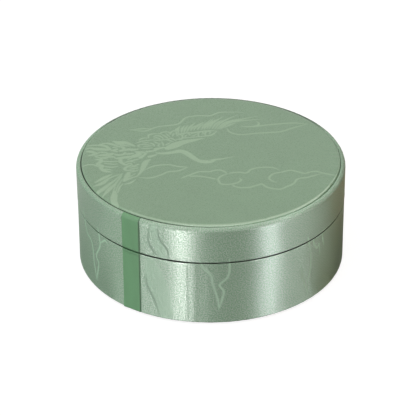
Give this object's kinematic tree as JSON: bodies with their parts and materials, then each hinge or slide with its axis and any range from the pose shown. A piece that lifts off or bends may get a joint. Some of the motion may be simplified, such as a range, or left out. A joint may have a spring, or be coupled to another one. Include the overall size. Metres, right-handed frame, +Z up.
{
  "type": "bangle box",
  "caption": "Round silk-covered bangle box with a padded lift-off lid over a neck, a plain ribbon stripe down its side and a grooved velvet cushion inside.",
  "frame": {"origin": "middle of the underside, on the surface that the box stands on", "axes": "+Z up along the box's axis and along the lid's lift; -Y is the front, with the ribbon stripe about 35 degrees round to -X"},
  "size_m": [0.1, 0.1, 0.0408],
  "materials": {
    "figured_silk": "satin",
    "plain_ribbon": "satin",
    "lining_satin": "satin",
    "ivory_velvet": "matte",
    "foam": "matte",
    "greyboard": "matte",
    "bottom_paper": "matte"
  },
  "bodies": {
    "base": {"base_bottom_cover": "bottom_paper", "base_floor_board": "greyboard", "base_side_board": "greyboard", "base_side_silk": "figured_silk", "base_ribbon": "plain_ribbon", "neck_board": "greyboard", "neck_satin": "lining_satin", "bed_foam": "foam", "bed_velvet": "ivory_velvet", "ring_foam": "foam", "ring_velvet": "ivory_velvet", "plug_foam": "foam", "plug_velvet": "ivory_velvet"},
    "lid": {"lid_side_board": "greyboard", "lid_top_board": "greyboard", "lid_side_silk": "figured_silk", "lid_ribbon": "plain_ribbon", "lid_wall_lining": "lining_satin", "lid_ceiling_board": "greyboard", "lid_ceiling_satin": "lining_satin", "pad_board": "greyboard", "pad_foam": "foam", "pad_silk": "figured_silk"}
  },
  "joints": [
    {"name": "lid_lift", "type": "slide", "parent": "base", "child": "lid", "axis": [0, 0, 1], "range_m": [0, 0.04]}
  ]
}
